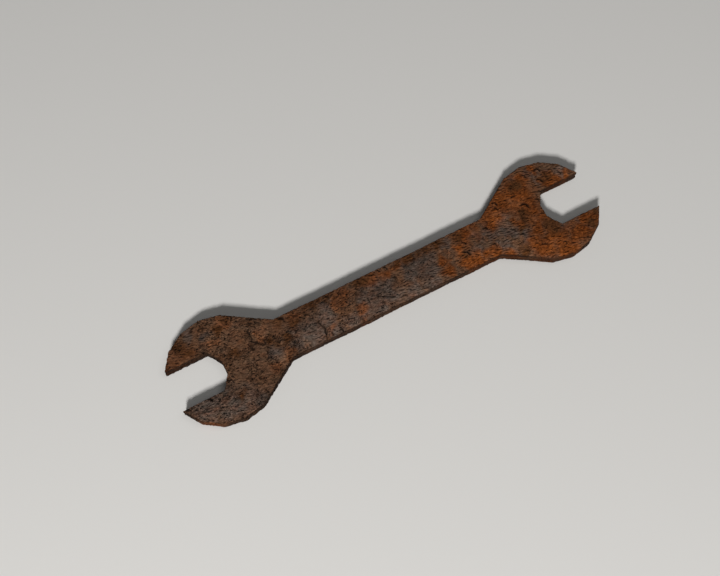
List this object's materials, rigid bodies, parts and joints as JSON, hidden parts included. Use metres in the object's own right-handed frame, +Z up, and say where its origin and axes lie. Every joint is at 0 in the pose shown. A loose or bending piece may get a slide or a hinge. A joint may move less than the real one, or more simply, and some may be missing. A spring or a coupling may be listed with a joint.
{
  "type": "double open-ended spanner",
  "caption": "Flat one-piece double open-ended spanner, both jaws in line with the handle and sized for a 19 mm nut, heavily rusted.",
  "frame": {"origin": "middle of the underside, on the face the spanner lies on", "axes": "+X along the handle towards one head, +Y across the handle in the plane of the plate, +Z up through the plate's thickness"},
  "size_m": [0.2122, 0.05, 0.006],
  "materials": {
    "rusted_steel": "matte"
  },
  "bodies": {
    "root": {"wrench_body": "rusted_steel"}
  },
  "joints": []
}
